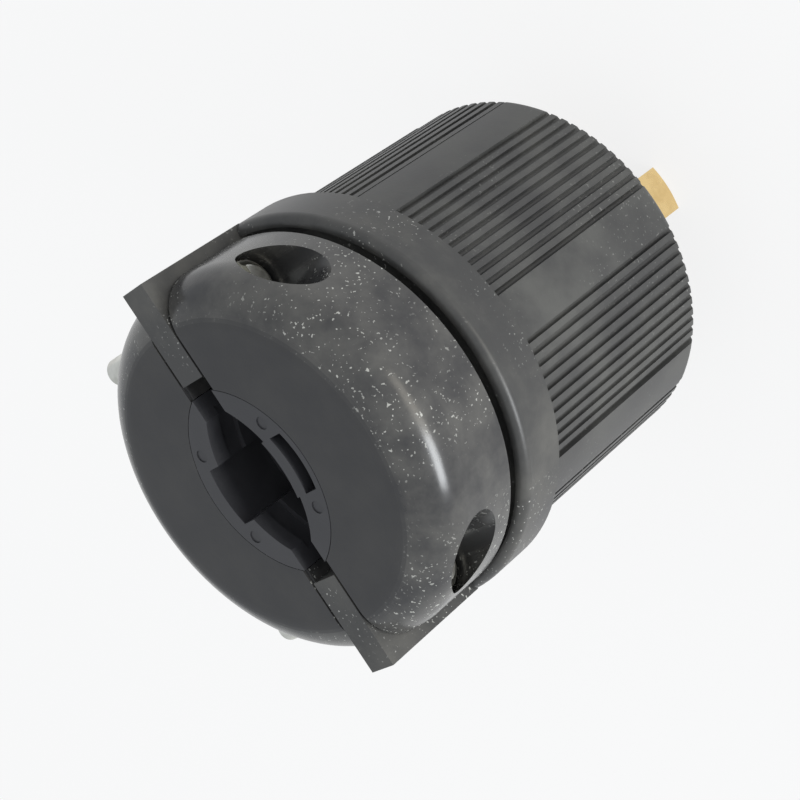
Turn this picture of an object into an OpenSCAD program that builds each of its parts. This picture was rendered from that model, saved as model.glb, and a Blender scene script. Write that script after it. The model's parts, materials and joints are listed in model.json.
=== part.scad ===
// Locking power plug: ribbed front housing with four curved blades, and a rear
// housing with a flat web and two domed cord clamp halves screwed across it.
// The plug stands on its blade tips, with the rear end face up.

/* [Overall] */
// Diameter of the collar, the widest part
collar_d = 58; // [56:0.5:62]
// Length from the front rim to the rear end face
body_length = 63.5; // [62:0.5:66]
// Length of the blades past the front rim
blade_reach = 17; // [15:0.5:19]

/* [Ribbed barrel] */
// Diameter of the barrel over its smooth bands
barrel_d = 54.8; // [54:0.1:55]
// How far the ribs lie below the smooth bands
rib_drop = 0.35; // [0:0.05:0.6]
// Number of smooth bands around the barrel
band_count = 7; // [5:1:9]
// Number of grooves between two bands
grooves_per_field = 11; // [5:1:11]
// Angle from one groove to the next
groove_pitch = 3.6; // [2.8:0.1:3.6]
// Width of a groove
groove_width = 0.8; // [0.5:0.05:1]
// Depth of a groove below the ribs
groove_depth = 0.65; // [0.3:0.05:0.8]
// Wall thickness of the barrel below the bands
barrel_wall = 2.8; // [2.4:0.1:3]
// Rounding of the front rim
front_edge_r = 1.8; // [1:0.1:2.2]
// Thickness of the front face plate
face_plate = 3.2; // [2.6:0.1:4]
// Depth of the front face below the rim
face_recess = 0.8; // [0:0.1:1.2]

/* [Collar] */
// Distance from the rear end face to the collar's rear lip
collar_from_rear = 17.8; // [17:0.1:19]
// Axial length of the collar
collar_length = 7.6; // [7:0.1:9]
// Rounding of the collar's rear lip
lip_r = 1.3; // [0.6:0.1:1.4]
// Depth of the collar floor below the lip
lip_depth = 1.1; // [0.5:0.1:1.5]
// Thickness of the collar floor
floor_t = 2.6; // [2:0.1:3]
// Radius of the wire hole in the collar floor
floor_hole_r = 13; // [11:0.5:14]

/* [Web] */
// Thickness of the flat web
web_t = 4.6; // [4:0.1:5.5]
// Width of the cable slot in the web
web_slot_w = 30.2; // [29.5:0.1:31]

/* [Cord clamp] */
// Radius of a clamp half
dome_r = 27.3; // [26.5:0.1:27.5]
// How far each half's centre lies from the plug axis
dome_offset = 1.1; // [0:0.1:1.5]
// Rounding from the end face to the side
dome_edge_r = 6.6; // [5:0.1:8]
// Axial length of a clamp half
dome_length = 15.6; // [15:0.1:16]
// Wall thickness of a clamp half
dome_wall = 2.6; // [2:0.1:3.5]
// Size of the fine step along the edges beside the web
seam_step = 0.4; // [0.2:0.05:0.6]

/* [Grip inserts] */
// Radius of the insert's outer arc
insert_outer_r = 14.4; // [14:0.1:14.6]
// Distance of the outer arc's centre past the plug axis
insert_outer_c = 3.8; // [3.4:0.1:4.2]
// Radius of the insert's inner arc
insert_inner_r = 15; // [14.5:0.1:15.5]
// Distance of the inner arc's centre past the plug axis
insert_inner_c = 9; // [8.6:0.1:9.4]
// Axial length of an insert
insert_length = 13.5; // [11:0.5:14]
// Height of the grip ribs on the inner arc
grip_rib_h = 0.8; // [0.4:0.1:1.2]
// Width of the tongue and of the notch opposite
tongue_w = 8.3; // [6:0.1:10]
// Thickness of the tongue
tongue_t = 1.9; // [1.4:0.1:2.2]

/* [Clamp screws] */
// Distance of each clamp screw from the plug axis
screw_x = 21.2; // [20.5:0.1:21.8]
// Distance of the clamp screws from the rear end face
screw_from_rear = 8.5; // [8:0.1:9]
// Radius of the screw counterbore
counterbore_r = 4.15; // [3.9:0.05:4.3]
// Distance from the plug axis to the seat of the screw head
head_seat_y = 8; // [7:0.1:9]
// Radius of the screw head
head_r = 3.6; // [3.2:0.1:3.7]
// Height of the screw head
head_h = 2.7; // [2:0.1:3]
// Radius of the screw shank
shank_r = 2; // [1.8:0.05:2.1]
// Length of the screw below its head
clamp_screw_l = 32; // [28:0.5:33]
// Size of the nut across its flats
nut_af = 7; // [6.5:0.1:7.2]
// Thickness of the nut
nut_h = 3.2; // [2.4:0.1:3.5]

/* [Blades] */
// Outer radius of the ring that the blades lie on
blade_ring_r = 15.8; // [15:0.1:17]
// Thickness of a blade
blade_t = 1.9; // [1.6:0.1:2.2]
// Width of a line blade, as an angle
line_blade_angle = 26; // [22:1:30]
// Width of the neutral blade, as an angle
neutral_blade_angle = 32; // [26:1:36]
// Width of the ground blade, as an angle
ground_blade_angle = 26; // [22:1:30]
// Height of the locking notch above the blade tip
notch_from_tip = 7.5; // [6:0.5:9]
// Height of the locking notch
notch_h = 5; // [4:0.5:6]
// Length of the ground blade's inward hook
hook_l = 2.6; // [2:0.1:3.2]

/* [Terminals] */
// Height of a blade's tail above the carrier
tail_h = 13; // [11:0.5:14]
// Width of a blade's tail, as an angle
tail_angle = 40; // [36:1:44]
// Side of the wire clamp plate
wire_clamp_w = 8; // [7:0.5:8.5]
// Thickness of the wire clamp plate
wire_clamp_t = 1.2; // [1:0.1:1.4]
// Radius of a terminal screw's head
terminal_head_r = 3.1; // [2.6:0.1:3.3]
// Radius of a terminal screw's shank
terminal_shank_r = 1.7; // [1.4:0.1:1.8]

/* [Carrier and assembly screws] */
// Thickness of the terminal carrier's disc
carrier_t = 7; // [6:0.5:8]
// Height of the dividers between the terminals
divider_h = 16; // [14:0.5:16.5]
// Radius of the assembly screws' circle
assembly_r = 20.5; // [20:0.1:20.8]
// Radius of an assembly screw's shank
assembly_shank_r = 1.7; // [1.5:0.1:1.8]

/* [Hidden] */
$fn = 96;

// Heights above the blade tips
z_rim = blade_reach;
z_rear = blade_reach + body_length;
z_face = z_rim + face_recess;
z_cup = z_rim + face_plate;
z_carrier = z_cup + carrier_t;
z_divider = z_carrier + divider_h;
z_lip = z_rear - collar_from_rear;
z_collar = z_lip - collar_length;
z_floor = z_lip - lip_depth;
z_chamber = z_floor - floor_t;
z_dome = z_rear - dome_length;
z_screw = z_rear - screw_from_rear;
z_terminal = z_carrier + 8;

// Radii and clearances
collar_r = collar_d / 2;
barrel_r = barrel_d / 2;
rib_r = barrel_r - rib_drop;
cavity_r = barrel_r - barrel_wall;
fit = 0.15;
thread_gap = 0.05;
assembly_head_h = 1.5;
terminal_head_h = 2.2;
socket_depth = 3.6;
z_barrel_top = z_collar + socket_depth - fit;
web_face = web_t / 2;
band_step = 360 / band_count;
field_span = (grooves_per_field - 1) * groove_pitch;
pedestal_r = 22;
nut_seat_y = 11;
nut_r = nut_af / 2 / cos(30);
blade_inner_r = blade_ring_r - blade_t;
slot_gap = 0.12;
boss_r = 3.7;
insert_rib_h = 0.9;
ejector_mark_r = 0.9;

// Places around the axis: the visible blade faces -Y
line_x_angle = -90;
line_y_angle = 90;
neutral_angle = 180;
ground_angle = 0;
assembly_angles = [45, 225];

plastic = [0.17, 0.17, 0.18];
plastic_gloss = [0.13, 0.13, 0.14];
brass = [0.80, 0.62, 0.25];
steel = [0.72, 0.73, 0.74];

// ---------- shared shapes ----------

// A wedge of the plane from angle -half to +half, out to radius r
module wedge(half, r) {
    far = r / cos(half);
    polygon([[0, 0], [far * cos(half), -far * sin(half)], [far * cos(half), far * sin(half)]]);
}

// Part of a ring between two radii, centred on the angle at
module ring_part(inner, outer, angle, at) {
    rotate(at) intersection() {
        difference() {
            circle(r = outer);
            circle(r = inner);
        }
        wedge(angle / 2, outer + 1);
    }
}

module slotted_head(r, h, slot_w, slot_depth) {
    difference() {
        rotate_extrude() difference() {
            square([r, h]);
            translate([r, h]) circle(r = h * 0.35, $fn = 32);
        }
        translate([-r - 1, -slot_w / 2, h - slot_depth]) cube([2 * r + 2, slot_w, slot_depth + 1]);
    }
}

// ---------- front housing ----------

// Outline of the barrel: smooth bands with fields of round-bottomed grooves between them
module ribbed_outline() {
    half_band = (band_step - field_span) / 2 - groove_width / 2;
    difference() {
        union() {
            circle(r = rib_r);
            for (i = [0 : band_count - 1])
                rotate(line_x_angle + i * band_step) intersection() {
                    circle(r = barrel_r);
                    wedge(half_band, barrel_r + 1);
                }
        }
        for (i = [0 : band_count - 1], k = [0 : grooves_per_field - 1])
            rotate(line_x_angle + i * band_step + (band_step - field_span) / 2 + k * groove_pitch)
                groove_outline();
    }
}

module groove_outline() {
    bottom_r = groove_width / 2;
    translate([rib_r - groove_depth + bottom_r, 0]) {
        circle(r = bottom_r, $fn = 24);
        translate([0, -bottom_r]) square([groove_depth + 1, groove_width]);
    }
}

module barrel_form() {
    rotate_extrude() difference() {
        translate([0, z_rim]) square([barrel_r + 1, z_barrel_top - z_rim]);
        translate([barrel_r - front_edge_r, z_rim]) difference() {
            square([front_edge_r + 2, front_edge_r]);
            translate([0, front_edge_r]) circle(r = front_edge_r);
        }
    }
}

module front_housing() {
    color(plastic) difference() {
        intersection() {
            translate([0, 0, z_rim]) linear_extrude(z_barrel_top - z_rim) ribbed_outline();
            barrel_form();
        }
        translate([0, 0, z_cup]) cylinder(r = cavity_r, h = body_length);
        translate([0, 0, z_rim - 1]) cylinder(r = barrel_r - front_edge_r - 1.2, h = face_recess + 1);
        translate([0, 0, z_rim - 1]) linear_extrude(face_plate + 2) blade_slots();
        for (a = assembly_angles) rotate(a) translate([assembly_r, 0, 0]) {
            translate([0, 0, z_rim - 1]) cylinder(r = assembly_shank_r + fit, h = face_plate + 2);
            translate([0, 0, z_rim - 1]) cylinder(r = terminal_head_r + fit, h = face_recess + assembly_head_h + 1);
        }
    }
}

// ---------- blades and terminals ----------

module blade_slot(angle, at) {
    ring_part(blade_inner_r - slot_gap, blade_ring_r + slot_gap, angle + 1, at);
}

module blade_slots() {
    blade_slot(line_blade_angle, line_x_angle);
    blade_slot(line_blade_angle, line_y_angle);
    blade_slot(neutral_blade_angle, neutral_angle);
    blade_slot(ground_blade_angle, ground_angle);
}

// A curved blade with a locking notch on one side, and its terminal tail
module blade(angle) {
    difference() {
        union() {
            linear_extrude(z_carrier) ring_part(blade_inner_r, blade_ring_r, angle, 0);
            translate([0, 0, z_carrier])
                linear_extrude(tail_h) ring_part(blade_inner_r, blade_ring_r, tail_angle, 0);
        }
        translate([0, 0, notch_from_tip]) linear_extrude(notch_h)
            ring_part(blade_inner_r - 1, blade_ring_r + 1, angle, angle * 0.66);
        translate([0, 0, z_terminal]) rotate([0, 90, 0])
            cylinder(r = terminal_shank_r + thread_gap, h = blade_ring_r + 2);
    }
}

module ground_hook() {
    linear_extrude(blade_t)
        ring_part(blade_inner_r - hook_l, blade_inner_r + 0.1, ground_blade_angle, 0);
}

module line_blade_x() {
    color(brass) rotate(line_x_angle) blade(line_blade_angle);
}

module line_blade_y() {
    color(brass) rotate(line_y_angle) blade(line_blade_angle);
}

module neutral_blade() {
    color(steel) rotate(neutral_angle) blade(neutral_blade_angle);
}

module ground_blade() {
    color(brass) rotate(ground_angle) {
        blade(ground_blade_angle);
        ground_hook();
    }
}

// A plate that the terminal screw presses on the wire
module wire_clamp(at) {
    rotate(at) translate([blade_ring_r, 0, z_terminal]) difference() {
        translate([0, -wire_clamp_w / 2, -wire_clamp_w / 2])
            cube([wire_clamp_t, wire_clamp_w, wire_clamp_w]);
        translate([-1, 0, 0]) rotate([0, 90, 0]) cylinder(r = terminal_shank_r + fit, h = wire_clamp_t + 2);
    }
}

module terminal_screw(at) {
    shank_l = blade_t + wire_clamp_t + 1.5;
    rotate(at) translate([blade_ring_r + wire_clamp_t, 0, z_terminal]) rotate([0, 90, 0]) {
        slotted_head(terminal_head_r, terminal_head_h, 0.8, 1);
        translate([0, 0, -shank_l]) cylinder(r = terminal_shank_r, h = shank_l + 0.2);
    }
}

module line_x_wire_clamp() {
    color(steel) wire_clamp(line_x_angle);
}

module line_y_wire_clamp() {
    color(steel) wire_clamp(line_y_angle);
}

module neutral_wire_clamp() {
    color(steel) wire_clamp(neutral_angle);
}

module ground_wire_clamp() {
    color(steel) wire_clamp(ground_angle);
}

module line_x_terminal_screw() {
    color(brass) terminal_screw(line_x_angle);
}

module line_y_terminal_screw() {
    color(brass) terminal_screw(line_y_angle);
}

module neutral_terminal_screw() {
    color(steel) terminal_screw(neutral_angle);
}

module ground_terminal_screw() {
    color("seagreen") terminal_screw(ground_angle);
}

// Disc that holds the blades, with a post and four dividers between the terminals
module terminal_carrier() {
    post_r = 6;
    divider_t = 2;
    divider_inset = 0.8;
    color(plastic) difference() {
        union() {
            translate([0, 0, z_cup]) cylinder(r = cavity_r - fit, h = carrier_t);
            translate([0, 0, z_cup]) cylinder(r = post_r, h = carrier_t + divider_h);
            intersection() {
                for (a = [45, 135]) rotate(a)
                    translate([-cavity_r, -divider_t / 2, z_cup])
                        cube([2 * cavity_r, divider_t, carrier_t + divider_h]);
                translate([0, 0, z_cup + 1]) cylinder(r = cavity_r - divider_inset, h = carrier_t + divider_h - 1);
            }
            for (a = assembly_angles) rotate(a)
                translate([assembly_r, 0, z_cup]) cylinder(r = boss_r, h = carrier_t + divider_h);
        }
        translate([0, 0, z_cup - 1]) linear_extrude(carrier_t + 2) blade_slots();
        for (a = assembly_angles) rotate(a) translate([assembly_r, 0, z_cup - 1])
            cylinder(r = assembly_shank_r + fit, h = carrier_t + divider_h + 2);
    }
}

// ---------- rear housing ----------

module collar_profile() {
    difference() {
        translate([0, z_collar]) square([collar_r, collar_length]);
        // socket for the barrel, chamber above it, and the floor below the lip
        translate([0, z_collar - 1]) square([barrel_r + fit, socket_depth + 1]);
        translate([0, z_collar]) square([cavity_r, z_chamber - z_collar]);
        translate([0, z_floor]) square([collar_r - 1.6, lip_depth + 1]);
        translate([collar_r - lip_r, z_lip - lip_r]) difference() {
            square(lip_r + 1);
            circle(r = lip_r, $fn = 48);
        }
    }
}

module rear_housing() {
    color(plastic) difference() {
        union() {
            rotate_extrude() collar_profile();
            translate([-collar_r, -web_face, z_floor]) cube([2 * collar_r, web_t, z_rear - z_floor]);
            translate([0, 0, z_floor]) cylinder(r = pedestal_r, h = z_dome - z_floor);
            for (a = assembly_angles) rotate(a)
                translate([assembly_r, 0, z_divider]) cylinder(r = boss_r, h = z_chamber - z_divider + 1);
        }
        translate([0, 0, z_chamber - 1]) cylinder(r = floor_hole_r, h = z_dome - z_chamber + 2);
        translate([-web_slot_w / 2, -web_t, z_dome]) cube([web_slot_w, 2 * web_t, body_length]);
        for (x = [-screw_x, screw_x]) translate([x, 0, z_screw]) rotate([90, 0, 0])
            cylinder(r = shank_r + fit, h = 2 * web_t, center = true);
        for (a = assembly_angles) rotate(a) translate([assembly_r, 0, z_divider - 1])
            cylinder(r = assembly_shank_r + thread_gap, h = z_chamber - z_divider + 1);
    }
}

// ---------- cord clamp ----------

// Solid of revolution of a whole dome, drawn in by the distance inset
module dome_form(inset) {
    r = dome_r - inset;
    edge = dome_edge_r - inset;
    translate([0, 0, z_dome - (inset > seam_step ? 1 : 0)]) rotate_extrude() {
        h = dome_length - inset + (inset > seam_step ? 1 : 0);
        square([r, h - edge]);
        square([r - edge, h]);
        translate([r - edge, h - edge]) intersection() {
            circle(r = edge);
            square(edge);
        }
    }
}

// Everything at least the distance y from the web's mid-plane, on the +Y side
module beyond(y) {
    translate([-50, y, 0]) cube([100, 50, z_rear + 10]);
}

module insert_outline(grow) {
    intersection() {
        translate([0, -insert_outer_c]) circle(r = insert_outer_r + grow);
        translate([-insert_outer_r, web_face]) square([2 * insert_outer_r, insert_outer_r]);
    }
}

// Inside of a clamp half that is left hollow: between skin, bosses and insert seat
module dome_hollow() {
    seat_wall = 2.4;
    difference() {
        intersection() {
            translate([0, dome_offset, 0]) dome_form(dome_wall);
            beyond(web_face + dome_wall);
        }
        translate([0, 0, z_dome - 1]) linear_extrude(dome_length + 2) insert_outline(seat_wall);
        for (x = [-screw_x, screw_x]) translate([x, 0, z_screw]) rotate([-90, 0, 0])
            cylinder(r = counterbore_r + 1.8, h = 50);
        for (x = [-screw_x, screw_x]) translate([x - 1, 0, z_dome - 2]) cube([2, 50, dome_length]);
    }
}

// A clamp half on the +Y side of the web, before its screw seats are cut
module clamp_half() {
    difference() {
        union() {
            intersection() {
                translate([0, dome_offset, 0]) dome_form(0);
                beyond(web_face + seam_step);
            }
            intersection() {
                translate([0, dome_offset, 0]) dome_form(seam_step);
                difference() {
                    beyond(web_face);
                    beyond(web_face + seam_step + 0.1);
                }
            }
        }
        dome_hollow();
        translate([0, 0, z_dome - 1]) linear_extrude(dome_length + 2) insert_outline(0.1);
        insert_rib();
        for (x = [-screw_x, screw_x]) translate([x, 0, z_screw]) rotate([-90, 0, 0])
            cylinder(r = shank_r + fit, h = 50);
    }
}

// Half-ring rib that keys an insert into its clamp half
module insert_rib() {
    translate([0, 0, z_rear - insert_length / 2 - insert_rib_h])
        linear_extrude(2 * insert_rib_h) insert_outline(insert_rib_h);
}

module front_cord_clamp() {
    color(plastic_gloss) mirror([0, 1, 0]) difference() {
        clamp_half();
        for (x = [-screw_x, screw_x]) translate([x, head_seat_y, z_screw]) rotate([-90, 0, 0])
            cylinder(r = counterbore_r, h = 50);
    }
}

module back_cord_clamp() {
    color(plastic_gloss) difference() {
        clamp_half();
        for (x = [-screw_x, screw_x]) translate([x, nut_seat_y, z_screw]) rotate([-90, 0, 0])
            cylinder(r = nut_r + fit, h = 50, $fn = 6);
    }
}

// Crescent insert on the +Y side with three grip ribs on its inner arc
module grip_insert() {
    rib_w = 2.4;
    rib_step = (insert_length - rib_w) / 2;
    difference() {
        union() {
            translate([0, 0, z_rear - insert_length]) linear_extrude(insert_length) insert_outline(0);
            insert_rib();
        }
        translate([0, -insert_inner_c, z_rear - insert_length - 1])
            cylinder(r = insert_inner_r, h = insert_length + 2);
        for (i = [0, 1]) translate([0, -insert_inner_c, z_rear - insert_length + rib_w + i * rib_step])
            cylinder(r = insert_inner_r + grip_rib_h, h = rib_step - rib_w);
    }
}

// Shallow round marks on an insert's end face
module ejector_marks() {
    for (x = [-6.3, 6.3]) translate([x, 7.2, z_rear - 0.15]) cylinder(r = ejector_mark_r, h = 1, $fn = 32);
}

// The front insert has a tongue that stands clear of a pocket
module front_grip_insert() {
    tongue_y = insert_inner_r - insert_inner_c - 0.5;
    pocket_depth = 9;
    color(plastic_gloss) mirror([0, 1, 0]) difference() {
        union() {
            grip_insert();
            translate([0, 0, z_rear - pocket_depth - 1]) linear_extrude(pocket_depth + 1)
                tongue_outline(tongue_y, tongue_w);
        }
        translate([0, 0, z_rear - pocket_depth]) linear_extrude(pocket_depth + 1) difference() {
            tongue_pocket();
            tongue_outline(tongue_y, tongue_w + 1);
        }
        ejector_marks();
    }
}

// Curved bar, tongue_t thick, whose inner face touches the distance y
module tongue_outline(y, w) {
    intersection() {
        difference() {
            translate([0, y + tongue_t - insert_inner_r]) circle(r = insert_inner_r);
            translate([0, y - insert_inner_r]) circle(r = insert_inner_r);
        }
        translate([-w / 2, 0]) square([w, insert_outer_r]);
    }
}

module tongue_pocket() {
    intersection() {
        translate([0, -insert_outer_c]) circle(r = insert_outer_r - 0.9);
        translate([-tongue_w / 2, web_face]) square([tongue_w, insert_outer_r]);
    }
}

// The back insert has a notch in the middle of its inner edge
module back_grip_insert() {
    notch_y = 8.1;
    notch_depth = 10;
    color(plastic_gloss) difference() {
        grip_insert();
        translate([0, 0, z_rear - notch_depth]) linear_extrude(notch_depth + 1) intersection() {
            translate([0, notch_y - insert_inner_r]) circle(r = insert_inner_r);
            translate([-tongue_w / 2, 0]) square([tongue_w, insert_outer_r]);
        }
        ejector_marks();
    }
}

// ---------- fasteners ----------

// A clamp screw: its head bears on the front half, its tip passes the back half
module clamp_screw(x) {
    translate([x, -head_seat_y, z_screw]) {
        rotate([90, 0, 0]) slotted_head(head_r, head_h, 1, 1.2);
        rotate([-90, 0, 0]) translate([0, 0, -0.2]) cylinder(r = shank_r, h = clamp_screw_l + 0.2);
    }
}

module clamp_nut(x) {
    translate([x, nut_seat_y, z_screw]) rotate([-90, 0, 0]) difference() {
        cylinder(r = nut_r, h = nut_h, $fn = 6);
        translate([0, 0, -1]) cylinder(r = shank_r + thread_gap, h = nut_h + 2);
    }
}

module assembly_screw(a) {
    thread_l = 9;
    rotate(a) translate([assembly_r, 0, z_face + assembly_head_h]) {
        mirror([0, 0, 1]) slotted_head(terminal_head_r, assembly_head_h, 0.8, 0.8);
        translate([0, 0, -0.2]) cylinder(r = assembly_shank_r, h = z_divider + thread_l - z_face);
    }
}

module clamp_screw_left() {
    color(steel) clamp_screw(-screw_x);
}

module clamp_screw_right() {
    color(steel) clamp_screw(screw_x);
}

module clamp_nut_left() {
    color(steel) clamp_nut(-screw_x);
}

module clamp_nut_right() {
    color(steel) clamp_nut(screw_x);
}

module assembly_screw_left() {
    color(steel) assembly_screw(assembly_angles[1]);
}

module assembly_screw_right() {
    color(steel) assembly_screw(assembly_angles[0]);
}

front_housing();
terminal_carrier();
rear_housing();
front_cord_clamp();
back_cord_clamp();
front_grip_insert();
back_grip_insert();
clamp_screw_left();
clamp_screw_right();
clamp_nut_left();
clamp_nut_right();
line_blade_x();
line_blade_y();
neutral_blade();
ground_blade();
line_x_terminal_screw();
line_y_terminal_screw();
neutral_terminal_screw();
ground_terminal_screw();
line_x_wire_clamp();
line_y_wire_clamp();
neutral_wire_clamp();
ground_wire_clamp();
assembly_screw_left();
assembly_screw_right();
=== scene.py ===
import json

import bpy
from mathutils import Matrix, Vector


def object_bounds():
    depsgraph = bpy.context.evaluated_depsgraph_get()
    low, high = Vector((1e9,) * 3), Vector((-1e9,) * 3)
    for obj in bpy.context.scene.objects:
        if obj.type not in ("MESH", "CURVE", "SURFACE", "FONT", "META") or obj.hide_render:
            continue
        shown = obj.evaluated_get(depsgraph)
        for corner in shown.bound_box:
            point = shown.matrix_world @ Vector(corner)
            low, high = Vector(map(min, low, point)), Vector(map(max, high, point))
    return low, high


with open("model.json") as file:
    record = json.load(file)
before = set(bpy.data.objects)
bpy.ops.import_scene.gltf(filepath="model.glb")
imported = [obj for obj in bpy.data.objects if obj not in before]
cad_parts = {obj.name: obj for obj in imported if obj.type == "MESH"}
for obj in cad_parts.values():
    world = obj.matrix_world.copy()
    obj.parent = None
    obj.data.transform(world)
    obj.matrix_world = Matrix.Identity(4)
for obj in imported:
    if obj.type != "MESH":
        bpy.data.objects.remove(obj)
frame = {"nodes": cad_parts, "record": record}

CAD_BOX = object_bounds()
NODES = frame["nodes"]

# Driving sizes, from the frame, in metres
BOX_LOW, BOX_HIGH = CAD_BOX
REAR_Z = BOX_HIGH.z
COLLAR_R = (BOX_HIGH.x - BOX_LOW.x) / 2

# The camera's axes in the row frame
CAMERA_RIGHT = Vector((-0.5452, -0.5878, -0.5977))
CAMERA_UP = Vector((0.8339, -0.3069, -0.4588))
# The camera's place from the middle of the rear end face, in collar radii
CAMERA_PLACE = Vector((0.740, -7.2475, 5.4139))
LENS_MM = 92.8
SENSOR_MM = 36
CLIP_NEAR = 0.01
CLIP_FAR = 20

# Colours, in linear light
SPECK = (0.55, 0.55, 0.52)
DOME_SPECK = (0.6, 0.6, 0.56)
DOME_BASE = (0.028, 0.028, 0.03)
DOME_DUST = (0.17, 0.165, 0.15)
FLOOR_DARKER = (0.86, 0.87, 0.88)
FLOOR_PALER = (0.9, 0.9, 0.9)
WHITE = (1, 1, 1, 1)
SKY = (0.94, 0.97, 1.0, 1)

# Depth of the finest relief, in metres
PLASTIC_RELIEF = 0.00004
METAL_RELIEF = 0.00002

# Half of the floor's side, and the share of its own glow that the camera sees
FLOOR_HALF = 3
FLOOR_GLOW = 0.8
SKY_STRENGTH = 0.75
# Height that the lamps point at, as a share of the whole height
LAMP_AIM = 0.8


# ---------- camera ----------

def make_camera():
    """The view from above the rear end, rolled so that the web runs down to the right."""
    camera = bpy.data.objects.new("camera", bpy.data.cameras.new("camera"))
    bpy.context.scene.collection.objects.link(camera)
    back = CAMERA_RIGHT.cross(CAMERA_UP).normalized()
    up = back.cross(CAMERA_RIGHT).normalized()
    right = up.cross(back)
    place = CAMERA_PLACE * COLLAR_R + Vector((0, 0, REAR_Z))
    camera.matrix_world = Matrix((
        (right.x, up.x, back.x, place.x),
        (right.y, up.y, back.y, place.y),
        (right.z, up.z, back.z, place.z),
        (0, 0, 0, 1),
    ))
    camera.data.sensor_width = SENSOR_MM
    camera.data.lens = LENS_MM
    camera.data.clip_start = CLIP_NEAR
    camera.data.clip_end = CLIP_FAR
    bpy.context.scene.camera = camera


# ---------- node helpers ----------

def new_material(name):
    """A material with one shader, its node tree and that shader."""
    material = bpy.data.materials.new(name)
    material.use_nodes = True
    material.node_tree.nodes.clear()
    tree = material.node_tree
    shader = tree.nodes.new("ShaderNodeBsdfPrincipled")
    output = tree.nodes.new("ShaderNodeOutputMaterial")
    tree.links.new(shader.outputs["BSDF"], output.inputs["Surface"])
    return material, tree, shader


def node(tree, kind, settings=None, **inputs):
    """A node with its settings. Each input is a socket to link or a plain value, and i0 is the first."""
    made = tree.nodes.new(kind)
    for key, value in (settings or {}).items():
        setattr(made, key, value)
    for key, value in inputs.items():
        numbered = key[0] == "i" and key[1:].isdigit()
        socket = made.inputs[int(key[1:]) if numbered else key]
        if isinstance(value, bpy.types.NodeSocket):
            tree.links.new(value, socket)
        else:
            socket.default_value = value
    return made


def math_node(tree, operation, *values, clamp=False):
    inputs = {f"i{index}": value for index, value in enumerate(values)}
    return node(tree, "ShaderNodeMath", {"operation": operation, "use_clamp": clamp}, **inputs).outputs[0]


def ramp(tree, value, low, high):
    """0 below low, 1 above high, smooth between."""
    return node(tree, "ShaderNodeMapRange", {"interpolation_type": "SMOOTHSTEP"},
                Value=value, **{"From Min": low, "From Max": high}).outputs["Result"]


def noise(tree, place, scale, detail, rough):
    return node(tree, "ShaderNodeTexNoise", None,
                Vector=place, Scale=scale, Detail=detail, Roughness=rough).outputs["Fac"]


def colour_mix(tree, factor, first, second):
    """first where factor is 0 and second where it is 1. Each is a socket or a plain value."""
    made = tree.nodes.new("ShaderNodeMix")
    made.data_type = "RGBA"
    for socket, value in ((made.inputs[0], factor), (made.inputs[6], first), (made.inputs[7], second)):
        if isinstance(value, bpy.types.NodeSocket):
            tree.links.new(value, socket)
        elif isinstance(value, tuple):
            socket.default_value = (*value, 1)
        else:
            socket.default_value = value
    return made.outputs[2]


def object_place(tree):
    return node(tree, "ShaderNodeTexCoord").outputs["Object"]


def relief(tree, shader, height, strength, depth):
    bump = node(tree, "ShaderNodeBump", None, Height=height, Strength=strength, Distance=depth)
    tree.links.new(bump.outputs["Normal"], shader.inputs["Normal"])


# ---------- materials ----------

def plastic(name, base, dust, roughness, grain, dusty, specks):
    """Moulded plastic: a film of dust, pale specks in patches and a fine grain.

    dusty and specks are the shares of the film and of the specks that show.
    """
    material, tree, shader = new_material(name)
    place = object_place(tree)
    film = ramp(tree, noise(tree, place, scale=90, detail=5, rough=0.62), low=0.35, high=0.75)
    fine = noise(tree, place, scale=2600, detail=2, rough=0.6)
    speck = ramp(tree, noise(tree, place, scale=2300, detail=1.5, rough=0.5), low=0.665, high=0.71)
    patch = ramp(tree, noise(tree, place, scale=60, detail=3, rough=0.5), low=0.42, high=0.62)
    speck = math_node(tree, "MULTIPLY", speck, math_node(tree, "MULTIPLY", patch, specks))
    veil = math_node(tree, "MULTIPLY", film, dusty)
    tone = colour_mix(tree, veil, base, dust)
    tone = colour_mix(tree, speck, tone, SPECK)
    tree.links.new(tone, shader.inputs["Base Color"])
    film_rough = 0.12
    speck_rough = 0.3
    rough = math_node(tree, "MULTIPLY_ADD", film, film_rough, roughness)
    rough = math_node(tree, "MULTIPLY_ADD", speck, speck_rough, rough, clamp=True)
    tree.links.new(rough, shader.inputs["Roughness"])
    speck_height = 0.6
    height = math_node(tree, "MULTIPLY_ADD", speck, speck_height, fine)
    relief(tree, shader, height, strength=grain, depth=PLASTIC_RELIEF)
    return material


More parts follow.
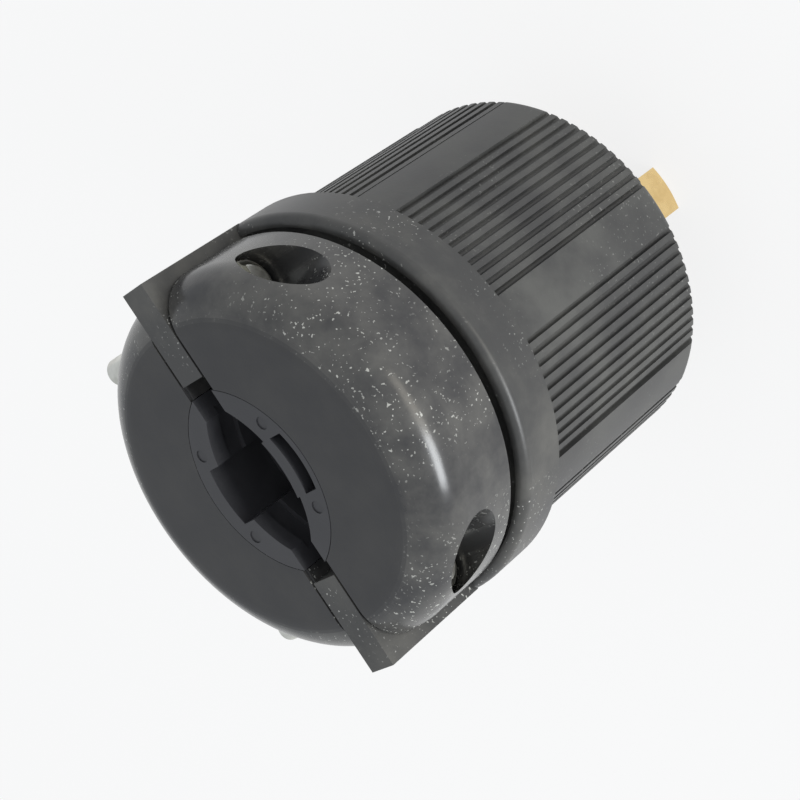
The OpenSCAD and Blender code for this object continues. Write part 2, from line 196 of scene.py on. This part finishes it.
def dome_plastic():
    """Clamp halves: matte on the flat end face, glossy and dusty round the side."""
    material, tree, shader = new_material("dome_plastic")
    place = object_place(tree)
    normal = node(tree, "ShaderNodeNewGeometry").outputs["True Normal"]
    up = node(tree, "ShaderNodeSeparateXYZ", None, Vector=normal).outputs["Z"]
    face = ramp(tree, up, low=0.93, high=0.99)
    film = ramp(tree, noise(tree, place, scale=110, detail=5, rough=0.62), low=0.3, high=0.75)
    speck = ramp(tree, noise(tree, place, scale=2100, detail=1.5, rough=0.5), low=0.65, high=0.7)
    patch = ramp(tree, noise(tree, place, scale=55, detail=3, rough=0.5), low=0.38, high=0.6)
    side = math_node(tree, "SUBTRACT", 1.0, face)
    speck = math_node(tree, "MULTIPLY", speck, math_node(tree, "MULTIPLY", patch, side))
    side_dust = 0.35
    face_dust = 0.12
    speck_share = 0.7
    veil = math_node(tree, "MULTIPLY", film, math_node(tree, "MULTIPLY_ADD", side, side_dust, face_dust))
    tone = colour_mix(tree, veil, DOME_BASE, DOME_DUST)
    tone = colour_mix(tree, math_node(tree, "MULTIPLY", speck, speck_share), tone, DOME_SPECK)
    tree.links.new(tone, shader.inputs["Base Color"])
    side_rough = 0.2
    face_rough = 0.3
    film_rough = 0.08
    speck_rough = 0.3
    rough = math_node(tree, "MULTIPLY_ADD", face, face_rough, side_rough)
    rough = math_node(tree, "MULTIPLY_ADD", film, film_rough, rough)
    rough = math_node(tree, "MULTIPLY_ADD", speck, speck_rough, rough, clamp=True)
    tree.links.new(rough, shader.inputs["Roughness"])
    fine = noise(tree, place, scale=3000, detail=2, rough=0.6)
    speck_height = 1.2
    height = math_node(tree, "MULTIPLY_ADD", speck, speck_height, math_node(tree, "MULTIPLY", fine, face))
    relief(tree, shader, height, strength=0.25, depth=PLASTIC_RELIEF)
    return material


def metal(name, base, dark, roughness):
    """Metal with darker, duller mottling and fine lines along Z."""
    material, tree, shader = new_material(name)
    place = object_place(tree)
    mottled = ramp(tree, noise(tree, place, scale=420, detail=5, rough=0.65), low=0.35, high=0.7)
    mottle_share = 0.5
    mottle_rough = 0.15
    tone = colour_mix(tree, math_node(tree, "MULTIPLY", mottled, mottle_share), base, dark)
    tree.links.new(tone, shader.inputs["Base Color"])
    shader.inputs["Metallic"].default_value = 1
    rough = math_node(tree, "MULTIPLY_ADD", mottled, mottle_rough, roughness)
    tree.links.new(rough, shader.inputs["Roughness"])
    along_z = (1, 1, 0.05)
    stretched = node(tree, "ShaderNodeMapping", None, Vector=place, Scale=along_z).outputs["Vector"]
    lines = noise(tree, stretched, scale=9000, detail=2, rough=0.5)
    relief(tree, shader, lines, strength=0.15, depth=METAL_RELIEF)
    return material


def plastics():
    """The four plain plastics by the record's material slot."""
    return {
        "ribbed_plastic": plastic(
            "ribbed_plastic", base=(0.04, 0.04, 0.04), dust=(0.13, 0.13, 0.12),
            roughness=0.42, grain=0.35, dusty=0.45, specks=0.25),
        "inner_plastic": plastic(
            "inner_plastic", base=(0.035, 0.035, 0.036), dust=(0.06, 0.06, 0.06),
            roughness=0.45, grain=0.3, dusty=0.2, specks=0.0),
        "satin_plastic": plastic(
            "satin_plastic", base=(0.04, 0.04, 0.04), dust=(0.15, 0.145, 0.13),
            roughness=0.38, grain=0.3, dusty=0.5, specks=0.8),
        "insert_plastic": plastic(
            "insert_plastic", base=(0.032, 0.032, 0.036), dust=(0.08, 0.08, 0.085),
            roughness=0.4, grain=0.25, dusty=0.3, specks=0.0),
    }


def metals():
    """The metals by the record's material slot."""
    return {
        "screw_steel": metal("screw_steel", (0.66, 0.66, 0.62), (0.42, 0.42, 0.38), 0.28),
        "blade_brass": metal("blade_brass", (0.83, 0.62, 0.3), (0.6, 0.42, 0.18), 0.22),
        "plated_blade": metal("plated_blade", (0.74, 0.74, 0.71), (0.55, 0.55, 0.52), 0.2),
        "screw_brass": metal("screw_brass", (0.8, 0.6, 0.3), (0.58, 0.42, 0.2), 0.3),
        "green_screw": metal("green_screw", (0.1, 0.36, 0.17), (0.05, 0.2, 0.1), 0.4),
    }


def dress_nodes():
    """Gives every CAD node the material of its slot."""
    looks = {**plastics(), "gloss_plastic": dome_plastic(), **metals()}
    for part in frame["record"]["subparts"]:
        target = NODES[part["node"]]
        target.data.materials.clear()
        target.data.materials.append(looks[part["material_slot"]])


# ---------- floor, world and lamps ----------

def make_floor():
    """A pale floor that looks white to the camera and in reflections, and keeps the plug's shadow."""
    mesh = bpy.data.meshes.new("floor")
    turns = ((-1, -1), (1, -1), (1, 1), (-1, 1))
    corners = [(x * FLOOR_HALF, y * FLOOR_HALF, 0) for x, y in turns]
    mesh.from_pydata(corners, [], [(0, 1, 2, 3)])
    floor = bpy.data.objects.new("floor", mesh)
    bpy.context.scene.collection.objects.link(floor)
    material, tree, shader = new_material("floor_white")
    place = object_place(tree)
    tone = colour_mix(tree, noise(tree, place, scale=6, detail=3, rough=0.5), FLOOR_DARKER, FLOOR_PALER)
    tree.links.new(tone, shader.inputs["Base Color"])
    shader.inputs["Roughness"].default_value = 0.9
    shader.inputs["Specular IOR Level"].default_value = 0.1
    path = node(tree, "ShaderNodeLightPath")
    seen = math_node(tree, "MAXIMUM", path.outputs["Is Camera Ray"], path.outputs["Is Glossy Ray"])
    seen = math_node(tree, "MAXIMUM", seen, path.outputs["Is Transmission Ray"])
    glow = node(tree, "ShaderNodeEmission", None, Color=WHITE, Strength=1.0)
    blend = node(tree, "ShaderNodeMixShader", None,
                 i0=math_node(tree, "MULTIPLY", seen, FLOOR_GLOW), i1=shader.outputs[0], i2=glow.outputs[0])
    output = next(n for n in tree.nodes if n.type == "OUTPUT_MATERIAL")
    tree.links.new(blend.outputs[0], output.inputs["Surface"])
    mesh.materials.append(material)


def make_world():
    """Soft light from all round, which looks white to the camera."""
    world = bpy.data.worlds.new("studio")
    bpy.context.scene.world = world
    world.use_nodes = True
    tree = world.node_tree
    tree.nodes.clear()
    path = node(tree, "ShaderNodeLightPath")
    soft = node(tree, "ShaderNodeBackground", None, Color=SKY, Strength=SKY_STRENGTH)
    white = node(tree, "ShaderNodeBackground", None, Color=WHITE, Strength=1.0)
    blend = node(tree, "ShaderNodeMixShader", None,
                 i0=path.outputs["Is Camera Ray"], i1=soft.outputs[0], i2=white.outputs[0])
    output = tree.nodes.new("ShaderNodeOutputWorld")
    tree.links.new(blend.outputs[0], output.inputs["Surface"])


def area_lamp(name, direction, distance, size, power, tint):
    """A rectangular lamp in that direction from the plug's upper part, facing it."""
    lamp = bpy.data.objects.new(name, bpy.data.lights.new(name, "AREA"))
    bpy.context.scene.collection.objects.link(lamp)
    target = Vector((0, 0, REAR_Z * LAMP_AIM))
    away = Vector(direction).normalized()
    lamp.location = target + away * distance
    lamp.rotation_mode = "QUATERNION"
    lamp.rotation_quaternion = away.to_track_quat("Z", "Y")
    lamp.data.shape = "RECTANGLE"
    lamp.data.size, lamp.data.size_y = size
    lamp.data.energy = power
    lamp.data.color = tint


def make_lamps():
    area_lamp("window", direction=(-0.60, -0.80, 0.09), distance=0.7, size=(0.34, 0.16),
              power=3.0, tint=(0.95, 0.98, 1.0))
    area_lamp("warm_fill", direction=(-0.15, -0.98, 0.05), distance=0.8, size=(0.5, 0.2),
              power=1.2, tint=(1.0, 0.93, 0.8))


make_camera()
dress_nodes()
make_floor()
make_world()
make_lamps()

bpy.context.scene.view_settings.view_transform = "Standard"
